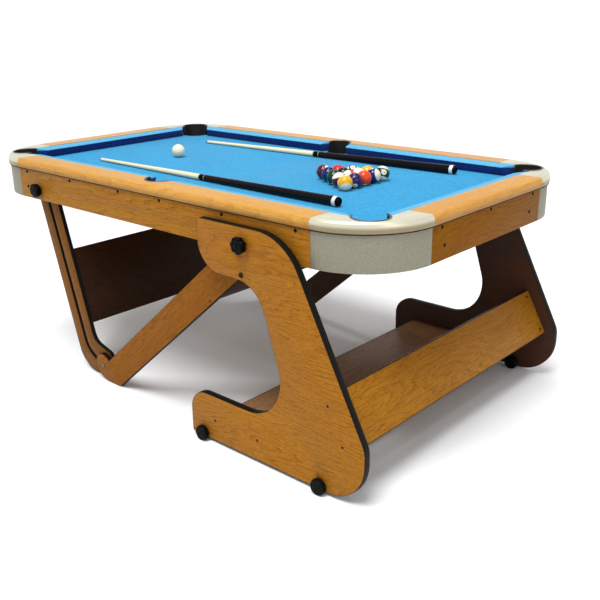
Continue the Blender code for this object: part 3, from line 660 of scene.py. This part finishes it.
def dress_all():
    """Materials of the CAD nodes that stay visible."""
    for side in ("near", "far"):
        dress("apron_" + side, M["apron_long"])
        dress("rail_" + side, M["rail_long"], 0)
        dress("panel_" + side, M["panel"])
        dress("strut_" + side, M["strut"])
        dress("leg_" + side, M["leg"])
        dress("pivot_spacer_" + side, M["black"])
        dress("lock_bolt_" + side, M["black"], 0.0003)
        dress("foot_bolt_" + side, M["steel"], 0.0003)
        dress("pocket_cup_" + side + "_side", M["tub"], 0)
        for end in ("left", "right"):
            dress("skirt_" + side + "_" + end, M["skirt"], 0.0005)
            dress("cap_" + side + "_" + end, M["cap"], 0.0006)
            dress("cushion_" + side + "_" + end, M["cushion"], 0.0012)
            dress("pocket_cup_" + side + "_" + end, M["tub"], 0)
    for end in ("left", "right"):
        dress("apron_" + end, M["apron_end"])
        dress("rail_" + end, M["rail_end"], 0)
        dress("cushion_" + end + "_end", M["cushion"], 0.0012)
        dress("bed_batten_" + end, M["board"])
    dress("bed", M["board"])
    dress("cloth", M["blue"], 0.0003)
    dress("front_board", M["front"])
    dress("shelf_board", M["shelf"])
    dress("strut_board", M["cross"])
    dress("leg_board", M["cross"])


# ================================================================ table top
def seam_strip():
    """Painted shadow: a dark strip showing as a line right round the table under the rails, for the
    shadow in the gap under their edge.
    """
    cx, cy = APRON_X - CORNER_R, APRON_Y - CORNER_R
    out = OVERHANG - 0.0012
    section = ((0.0002, APRON_TOP - 0.0026), (out - 0.0006, APRON_TOP - 0.0026),
               (out, APRON_TOP - 0.0021), (out, APRON_TOP - 0.0004),
               (out - 0.0004, APRON_TOP), (0.0002, APRON_TOP))
    rings, steps = [], 24
    for qx, qy, a0 in ((1, 1, 0), (-1, 1, 90), (-1, -1, 180), (1, -1, 270)):
        for i in range(steps + 1):
            a = math.radians(a0 + 90 * i / steps)
            c, s = math.cos(a), math.sin(a)
            rings.append([Vector((qx * cx + (CORNER_R + o) * c, qy * cy + (CORNER_R + o) * s, z))
                          for o, z in section])
    Pile().sweep(rings, closed=True).make("seam_strip", M["shadow_line"], "table_top", "black_plastic")


def rim_bead(pile, cx, cy, radius, facing, span, steps=44, sides=12):
    """Rounded bead along the top of a pocket liner, round to span degrees off facing."""
    rings = []
    a0, a1 = facing - span, facing + span
    for i in range(steps + 1):
        a = math.radians(a0 + (a1 - a0) * i / steps)
        out = Vector((math.cos(a), math.sin(a), 0))
        taper = 0.35 if i in (0, steps) else 1.0
        mid = Vector((cx, cy, RAIL_TOP - 0.0006)) + out * radius
        ring = []
        for k in range(sides):
            t = 2 * math.pi * k / sides
            ring.append(mid + out * (math.cos(t) * RIM_HALF * taper)
                        + Vector((0, 0, math.sin(t) * RIM_HALF * taper * 0.8)))
        rings.append(ring)
    pile.sweep(rings)


def pocket_rims():
    """Dark beads round all six pocket liners."""
    pile = Pile()
    for sx in (-1, 1):
        for sy in (-1, 1):
            px, py = sx * CORNER_POCKET[0], sy * CORNER_POCKET[1]
            facing = math.degrees(math.atan2(sy, sx))
            rim_bead(pile, px, py, CORNER_RIM, facing, CORNER_RIM_SPAN)
    for sy in (-1, 1):
        rim_bead(pile, 0.0, sy * SIDE_POCKET_Y, SIDE_RIM, sy * 90, SIDE_RIM_SPAN)
    pile.make("pocket_rims", M["rim"], "table_top", "black_plastic", sharp=60)


def screw(pile, centre, axis, r, segs=24):
    """Screw cover: a low dome with a round recess at its middle."""
    profile = ((r * 0.98, -0.0006), (r, 0.0002), (r * 0.94, 0.0009), (r * 0.74, 0.0014),
               (r * 0.44, 0.0016), (r * 0.40, 0.0009), (r * 0.10, 0.0008))
    pile.turned(profile, centre, axis, segs)


def front_section():
    """The front board's corners in X and Z, from the highest down, and its half length."""
    co = [v.co for v in NODES["front_board"].data.vertices]
    corners = sorted({(round(c.x, 4), round(c.z, 4)) for c in co}, key=lambda p: -p[1])
    return corners, max(c.y for c in co)


def apron_screws():
    """Screw caps along the aprons."""
    top = Pile()
    z_high, z_low = APRON_TOP - 0.0118, APRON_LOW + 0.040
    for s in (-1, 1):
        for x in (-0.635, -0.375, -0.113, 0.087, 0.356, 0.630):
            screw(top, (x, s * APRON_Y, z_high), (0, s, 0), APRON_SCREW_R)
        screw(top, (-0.636, s * APRON_Y, z_low), (0, s, 0), APRON_SCREW_R)
        for y in (-0.250, 0.0, 0.250):
            screw(top, (s * APRON_X, y, z_high), (s, 0, 0), APRON_SCREW_R)
        for y in (-0.235, 0.235):
            screw(top, (s * APRON_X, y, z_low), (s, 0, 0), APRON_SCREW_R)
    top.make("apron_screws", M["black"], "table_top", "black_plastic")


def panel_screws():
    """Screws in the C-panels and the front board, and the caps of the lock bolts."""
    base = Pile()
    corners, reach = front_section()
    head, foot = Vector(max(corners[:2])), Vector(max(corners[2:]))
    rise = (head - foot).normalized()
    facing = Vector((rise.y, -rise.x))
    low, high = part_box("lock_bolt_far")
    bolt_x, bolt_z = (low.x + high.x) / 2, (low.z + high.z) / 2
    tall = high.y - PANEL_OUT
    skirted = ((0.0074, -0.0004), (0.0076, 0.0006), (0.0074, tall - 0.0012),
               (0.0064, tall + 0.0002), (0.0034, tall + 0.0006), (0.0030, tall - 0.0002),
               (0.0002, tall - 0.0002))
    for s in (-1, 1):
        for x, z in ((0.766, 0.271), (0.816, 0.168), (0.326, 0.078), (0.502, 0.075)):
            screw(base, (x, s * PANEL_OUT, z), (0, s, 0), PANEL_SCREW_R)
        for share in (0.12, 0.88):
            spot = foot + (head - foot) * share
            screw(base, (spot.x, s * (reach - 0.022), spot.y), (facing.x, 0, facing.y),
                  BOARD_SCREW_R)
        base.turned(skirted, (bolt_x, s * PANEL_OUT, bolt_z), (0, s, 0), 36)
    base.make("panel_screws", M["fixing"], "base", "zinc_steel")


def strut_screws():
    """Screws near the lower edge of the struts, by their cross board."""
    pile = Pile()
    a = math.radians(STRUT_SLOPE)
    down = 0.039                                # off the strut's centreline
    for s in (-1, 1):
        for along in (0.130, 0.298):
            x = PIVOT_TOP[0] - math.cos(a) * along + math.sin(a) * down
            z = PIVOT_TOP[1] - math.sin(a) * along - math.cos(a) * down
            screw(pile, (x, s * STRUT_OUT, z), (0, s, 0), STRUT_SCREW_R)
    pile.make("strut_screws", M["fixing"], "strut_frame", "zinc_steel")


def board_trim():
    """Black edging along the front board's and the shelf's long edges."""
    pile = Pile()
    corners, reach = front_section()
    reach -= 0.0004
    centre = Vector((sum(p[0] for p in corners) / 4, sum(p[1] for p in corners) / 4))
    for a, b in (corners[:2], corners[2:]):
        a, b = Vector(a), Vector(b)
        mid = (a + b) / 2
        out = mid - centre
        t = (b - a).normalized()
        out = (out - t * out.dot(t)).normalized()
        half = (b - a).length / 2
        section = ((-half - 0.0003, -0.0013), (-half - 0.0003, 0.0002), (-half * 0.7, 0.0010),
                   (half * 0.7, 0.0010), (half + 0.0003, 0.0002), (half + 0.0003, -0.0013))
        rings = []
        for y in (-reach, -reach / 2, 0.0, reach / 2, reach):
            rings.append([Vector((mid.x + t.x * u + out.x * v, y, mid.y + t.y * u + out.y * v))
                          for u, v in section])
        pile.sweep(rings)
    low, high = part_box("shelf_board")
    for x, s in ((low.x, -1), (high.x, 1)):
        section = ((-0.0010, low.z - 0.0003), (0.0002, low.z - 0.0003), (0.0010, low.z + 0.003),
                   (0.0010, high.z - 0.003), (0.0002, high.z + 0.0003),
                   (-0.0010, high.z + 0.0003))
        pile.sweep([[Vector((x + s * o, y, z)) for o, z in section]
                    for y in (-reach, 0.0, reach)])
    pile.make("board_trim", M["edge"], "base", "black_plastic", sharp=50)


# ================================================================= hardware
def knob(name, centre, sign, seat, inner_end):
    """Seven-lobed hand knob: skirted boss, crowned grip, domed cap, stud."""
    x, z = centre

    def lobes(a, h):
        rise, fall = (h - 0.0055) / 0.0035, (0.0262 - h) / 0.002
        strength = max(0.0, min(1.0, rise)) * max(0.0, min(1.0, fall))
        wave = math.cos(KNOB_LOBES * a)
        return strength * LOBE_DEPTH * (wave if wave > -0.2 else -0.2 + (wave + 0.2) * 1.8)

    grip = ((0.0040, inner_end - seat), (0.0040, -0.0002), (0.0126, 0.0), (0.0130, 0.0006),
            (0.0130, 0.0052), (0.0140, 0.0062), (0.0206, 0.0068), (0.0224, 0.0078),
            (0.0233, 0.0100), (0.0236, 0.0135), (0.0236, 0.0180), (0.0232, 0.0212),
            (0.0220, 0.0236), (0.0196, 0.0252), (0.0160, 0.0259), (0.0118, 0.0259),
            (0.0108, 0.0252), (0.0104, 0.0244), (0.0098, 0.0244), (0.0092, 0.0254),
            (0.0070, 0.0263), (0.0030, 0.0267))
    pile = Pile().turned(grip, (x, sign * seat, z), (0, sign, 0), 84, wobble=lobes)
    ob = pile.make(name + "_grip", M["black"], name, "black_plastic", sharp=48)
    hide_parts(name)


def knobs():
    """The four knobs, seated where their CAD nodes are."""
    for side, s in (("near", -1), ("far", 1)):
        for name, centre, seat in (("knob_top_" + side, PIVOT_TOP, PANEL_OUT + KNOB_LIFT),
                                   ("knob_leg_" + side, PIVOT_LEG, APRON_Y + KNOB_LIFT)):
            low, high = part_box(name)
            inner = min(abs(low.y), abs(high.y))
            knob(name, centre, s, seat, inner)


def wheels():
    """Twin castor wheels: grooved tyre, dished hub and boss, mirrored outwards."""
    for side, s in (("near", -1), ("far", 1)):
        for end in ("rear", "front"):
            name = "wheels_" + side + "_" + end
            low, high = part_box(name)
            x, z = (low.x + high.x) / 2, (low.z + high.z) / 2
            r, width, whole = (high.z - low.z) / 2, WHEEL_WIDTH, high.y - low.y
            first = min(abs(low.y), abs(high.y))
            inner = [(0.0012, 0.0020), (0.0042, 0.0019), (0.0056, 0.0012), (0.0060, 0.0004),
                     (0.0072, 0.0002), (0.0078, 0.0018), (r - 0.0082, 0.0024),
                     (r - 0.0072, 0.0012), (r - 0.0058, 0.0010), (r - 0.0050, 0.0022),
                     (r - 0.0034, 0.0022), (r - 0.0012, 0.0034), (r - 0.0002, 0.0056),
                     (r, 0.0072), (r - 0.0007, 0.0078), (r - 0.0007, 0.0102), (r, 0.0108),
                     (r, width - 0.0034), (r - 0.0010, width - 0.0012), (r - 0.0032, width),
                     (0.0058, width), (0.0036, width - 0.0004), (0.0030, width)]
            outer = [(a, whole - b) for a, b in inner[::-1]]
            pile = Pile().turned(inner + outer, (x, s * first, z), (0, s, 0), 56)
            ob = pile.make(name + "_tyres", M["rubber"], name, "black_plastic", sharp=40)
            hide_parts(name)


# ============================================================== accessories
def digits(text, size):
    """Flat triangles of a number, centred, from the built-in font."""
    curve = bpy.data.curves.new("figure", "FONT")
    curve.body = text
    curve.size = size
    curve.align_x = "CENTER"
    curve.align_y = "CENTER"
    ob = placed("figure", curve)
    bpy.context.view_layer.update()
    graph = bpy.context.evaluated_depsgraph_get()
    mesh = bpy.data.meshes.new_from_object(ob.evaluated_get(graph))
    bm = bmesh.new()
    bm.from_mesh(mesh)
    bmesh.ops.remove_doubles(bm, verts=bm.verts, dist=1e-6)
    bmesh.ops.triangulate(bm, faces=bm.faces)
    bmesh.ops.subdivide_edges(bm, edges=[e for e in bm.edges if e.calc_length() > size / 6], cuts=2)
    bmesh.ops.triangulate(bm, faces=bm.faces)
    verts = [v.co.copy() for v in bm.verts]
    bm.verts.index_update()
    faces = [tuple(v.index for v in f.verts) for f in bm.faces]
    bm.free()
    bpy.data.objects.remove(ob)
    bpy.data.curves.remove(curve)
    bpy.data.meshes.remove(mesh)
    mid_x = (min(v.x for v in verts) + max(v.x for v in verts)) / 2
    mid_y = (min(v.y for v in verts) + max(v.y for v in verts)) / 2
    return [(v.x - mid_x, v.y - mid_y) for v in verts], faces


def globe(pile, r, rows=28, segs=56):
    """Sphere skin with pinched poles."""
    profile = []
    for i in range(rows + 1):
        a = math.pi * (i + 0.0001) / (rows + 0.0002)
        profile.append((r * math.sin(a) + 1e-6, -r * math.cos(a)))
    pile.turned(profile, (0, 0, 0), (0, 0, 1), segs)


def numbered_ball(number, centre, turn):
    """One ball of the rack, with raised-ink figures on its two number spots."""
    name = f"ball_{number}"
    colour = BALL_COLOURS[(number - 1) % len(BALL_COLOURS)]
    stripe = number > len(BALL_COLOURS)
    pile = Pile()
    globe(pile, BALL_R)
    flat, tris = digits(str(number), FIGURE_SIZE)
    lift = BALL_R + 0.00012
    under = BALL_R - 0.00040
    for s in (1, -1):
        base = len(pile.verts)
        edges = {}                              # kept in order, to close the sides
        for level in (lift, under):
            for u, v in flat:
                depth = math.sqrt(max(0.0, 1.0 - (u * u + v * v) / BALL_R ** 2))
                pile.verts.append(Vector((s * depth, s * u / BALL_R, v / BALL_R)) * level)
        n = len(flat)
        for f in tris:
            pile.faces.append(tuple(base + i for i in f))
            pile.faces.append(tuple(base + n + i for i in f[::-1]))
            pile.indices += [1, 1]
            for a, b in zip(f, f[1:] + f[:1]):
                edges[(a, b)] = True
        for a, b in edges:
            if (b, a) not in edges:
                pile.faces.append((base + b, base + a, base + n + a, base + n + b))
                pile.indices.append(1)
    matrix = Matrix.Translation(centre) @ turn.to_4x4()
    return pile.make(name, [resin(name + "_resin", colour, stripe), M["figures"]], "rack_balls",
                     "ball_resin", sharp=60, matrix=matrix)


# balls 1 to 8 in full colour; 9 to 15 have the first seven colours as a stripe
BALL_COLOURS = ((0.66, 0.36, 0.006), (0.004, 0.010, 0.105), (0.54, 0.006, 0.006),
                (0.018, 0.008, 0.080), (0.66, 0.050, 0.006), (0.0015, 0.036, 0.014),
                (0.080, 0.003, 0.009), (0.002, 0.002, 0.0024))
# rows of the rack from its apex, each with the near ball first
RACK = ((7,), (2, 3), (6, 8, 12), (15, 13, 11, 1), (9, 4, 5, 10, 14))
# heading and elevation of each ball's stripe axis, and its spin about that axis
FACING = {1: (40, 0, -30), 2: (40, 0, -24), 3: (40, 0, -30), 4: (40, 0, 125),
          5: (40, 0, -30), 6: (40, 0, -36), 7: (85, 0, 45), 8: (40, 0, -30),
          9: (-40, -50, 90), 10: (20, 16, 0), 11: (-15, 62, 40), 12: (40, 0, 30),
          13: (-100, 28, 60), 14: (100, 64, -142), 15: (-138, 68, 100)}


def balls():
    """The racked fifteen and the cue ball, on the cloth where the CAD has them."""
    low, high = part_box("rack_balls")
    x0 = low.x + (high.z - low.z) / 2
    y0 = (low.y + high.y) / 2
    first = None
    for row, numbers in enumerate(RACK):
        for k, number in enumerate(numbers):
            centre = Vector((x0 + row * BALL_R * math.sqrt(3), y0 + (k - row / 2) * 2 * BALL_R,
                             low.z + BALL_R))
            head, rise, spin = (math.radians(a) for a in FACING[number])
            pole = Vector((math.cos(rise) * math.cos(head), math.cos(rise) * math.sin(head),
                           math.sin(rise)))
            turn = pole.to_track_quat("Z", "X").to_matrix() @ Matrix.Rotation(spin, 3, "Z")
            ob = numbered_ball(number, centre, turn)
            first = first or ob
    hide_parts("rack_balls")
    low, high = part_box("cue_ball")
    pile = Pile()
    globe(pile, (high.z - low.z) / 2)
    ob = pile.make("cue_ball_polished", M["cue_ball"], "cue_ball", "ivory_resin", sharp=60,
                   matrix=Matrix.Translation((low + high) / 2))
    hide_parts("cue_ball")


def cues():
    """Two-piece cues: leather tip, ferrule, shaft, collar, butt and bumper.

    Both lie from tip to end in X and Y; slide then moves one along itself.
    """
    butt = cue_butt("cue_butt", 0.595, 0.26)
    mats = [M["tip"], M["white_ring"], M["shaft"], M["brass"], butt, M["black"]]
    profile = ((0.0022, 0.0, 0), (0.0042, 0.0006, 0), (0.0052, 0.0022, 0), (0.0055, 0.0045, 0),
               (0.0055, 0.0090, 1), (0.0055, 0.0280, 2), (0.0056, 0.0290, 2), (0.0062, 0.150, 2),
               (0.0074, 0.300, 2), (0.0090, 0.470, 2), (0.0096, 0.5580, 3), (0.0100, 0.5585, 3),
               (0.0100, 0.5615, 5), (0.0098, 0.5620, 5), (0.0102, 0.5820, 3),
               (0.0104, 0.5822, 3), (0.0104, 0.5852, 4), (0.0102, 0.5856, 4), (0.0106, 0.600, 4),
               (0.0119, 0.780, 4), (0.0132, 0.950, 4), (0.01442, 1.1290, 4),
               (0.0146, 1.1300, 1), (0.0146, 1.1415, 1), (0.0143, 1.1423, 4), (0.0138, 1.1440, 5),
               (0.0127, 1.1446, 5), (0.0127, 1.1470, 5), (0.0120, 1.1490, 5),
               (0.0098, 1.1505, 5), (0.0070, 1.1500, 5), (0.0062, 1.1480, 5), (0.0010, 1.1480, 5))
    low = CLOTH_TOP + 0.0003
    for name, tip, end, slide in (("cue_near", (-0.577, -0.246), (0.588, -0.266), 0.0),
                                  ("cue_far", (-0.577, 0.272), (0.587, 0.334), 0.0095)):
        a = Vector((*tip, low + CUE_TIP_Z))
        b = Vector((*end, low + CUE_END_Z))
        along = (b - a).normalized()
        side = Vector((0, 0, 1)).cross(along).normalized()
        up = along.cross(side)
        matrix = Matrix((along, side, up)).transposed().to_4x4()
        matrix.translation = a + along * slide
        pile = Pile().turned(profile, (0, 0, 0), (1, 0, 0), 40)
        ob = pile.make(name + "_turned", mats, name, "cream_maple", sharp=30, matrix=matrix)
        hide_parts(name)


# =================================================================== studio
def studio_floor():
    """Wide flat floor that runs out of sight."""
    mesh = bpy.data.meshes.new("floor")
    half = 60.0
    mesh.from_pydata([(-half, -half, 0), (half, -half, 0), (half, half, 0), (-half, half, 0)], [],
                     [(0, 1, 2, 3)])
    mesh.materials.append(M["floor"])
    floor = placed("floor", mesh)


def surround():
    """White light from all round, stronger from low down."""
    world = bpy.data.worlds.new("studio")
    world.use_nodes = True
    tree = world.node_tree
    sky = tree.nodes["Background"]
    coords = tree.nodes.new("ShaderNodeTexCoord")
    split = tree.nodes.new("ShaderNodeSeparateXYZ")
    fade = tree.nodes.new("ShaderNodeMapRange")
    fade.interpolation_type = "SMOOTHSTEP"
    # the fade's ends, as the height of a direction, and the sky's strength at each
    for socket, value in zip(fade.inputs[1:5], (0.06, 0.45, 1.05, 0.50)):
        socket.default_value = value
    tree.links.new(coords.outputs["Generated"], split.inputs[0])
    tree.links.new(split.outputs["Z"], fade.inputs[0])
    tree.links.new(fade.outputs[0], sky.inputs["Strength"])
    sky.inputs["Color"].default_value = (1.0, 1.0, 1.0, 1.0)
    bpy.context.scene.world = world


def lights():
    """One broad key, two soft fills, and three small lamps that spark on the balls."""
    sun = bpy.data.lights.new("key", "SUN")
    sun.energy = 2.55
    sun.angle = math.radians(27)
    ob = placed("key", sun)
    ob.rotation_euler = Vector((-0.10, 0.52, -1.30)).to_track_quat("-Z", "Y").to_euler()
    for name, at, aim, size, power in (
            ("overhead", (0.3, -0.2, 3.6), (0.0, 0.0, 0.7), 1.6, 26.0),
            ("end", (4.2, -1.2, 1.8), (0.6, 0.0, 0.5), 1.6, 16.0),
            ("spark_back", (-0.9, 1.3, 3.6), (0.4, 0.0, 0.75), 0.20, 11.0),
            ("spark_left", (0.1, -2.4, 2.9), (0.4, 0.0, 0.75), 0.20, 8.0),
            ("spark_right", (2.6, -0.8, 3.2), (0.4, 0.0, 0.75), 0.20, 8.0)):
        lamp = bpy.data.lights.new(name, "AREA")
        lamp.shape = "SQUARE"
        lamp.size = size
        lamp.energy = power
        ob = placed(name, lamp)
        ob.location = at
        ob.rotation_euler = (Vector(aim) - Vector(at)).to_track_quat("-Z", "Y").to_euler()


def camera():
    """Camera a little above the rails, off the near right corner."""
    yaw, pitch, roll = (math.radians(a) for a in (131.78, -19.80, -0.70))
    d = Vector((math.cos(pitch) * math.cos(yaw), math.cos(pitch) * math.sin(yaw),
                math.sin(pitch)))
    right = d.cross(Vector((0, 0, 1))).normalized()
    up = right.cross(d)
    c, s = math.cos(roll), math.sin(roll)
    right, up = right * c + up * s, up * c - right * s
    data = bpy.data.cameras.new("camera")
    data.sensor_width = 36.0
    data.lens = 49.68
    ob = placed("camera", data)
    matrix = Matrix((right, up, -d)).transposed().to_4x4()
    matrix.translation = (2.002, -2.037, 1.262)
    ob.matrix_world = matrix
    bpy.context.scene.camera = ob
    bpy.context.scene.view_settings.view_transform = "Standard"


dress_all()
for side in ("near", "far"):
    edging("panel_" + side, "base", M["edge"])
    edging("leg_" + side, "leg_frame", M["edge"])
    edging("strut_" + side, "strut_frame", M["edge"], lip=0.0006, crown=0.0009, proud=0.0002)
seam_strip()
pocket_rims()
apron_screws()
panel_screws()
strut_screws()
board_trim()
knobs()
wheels()
balls()
cues()
studio_floor()
surround()
lights()
camera()
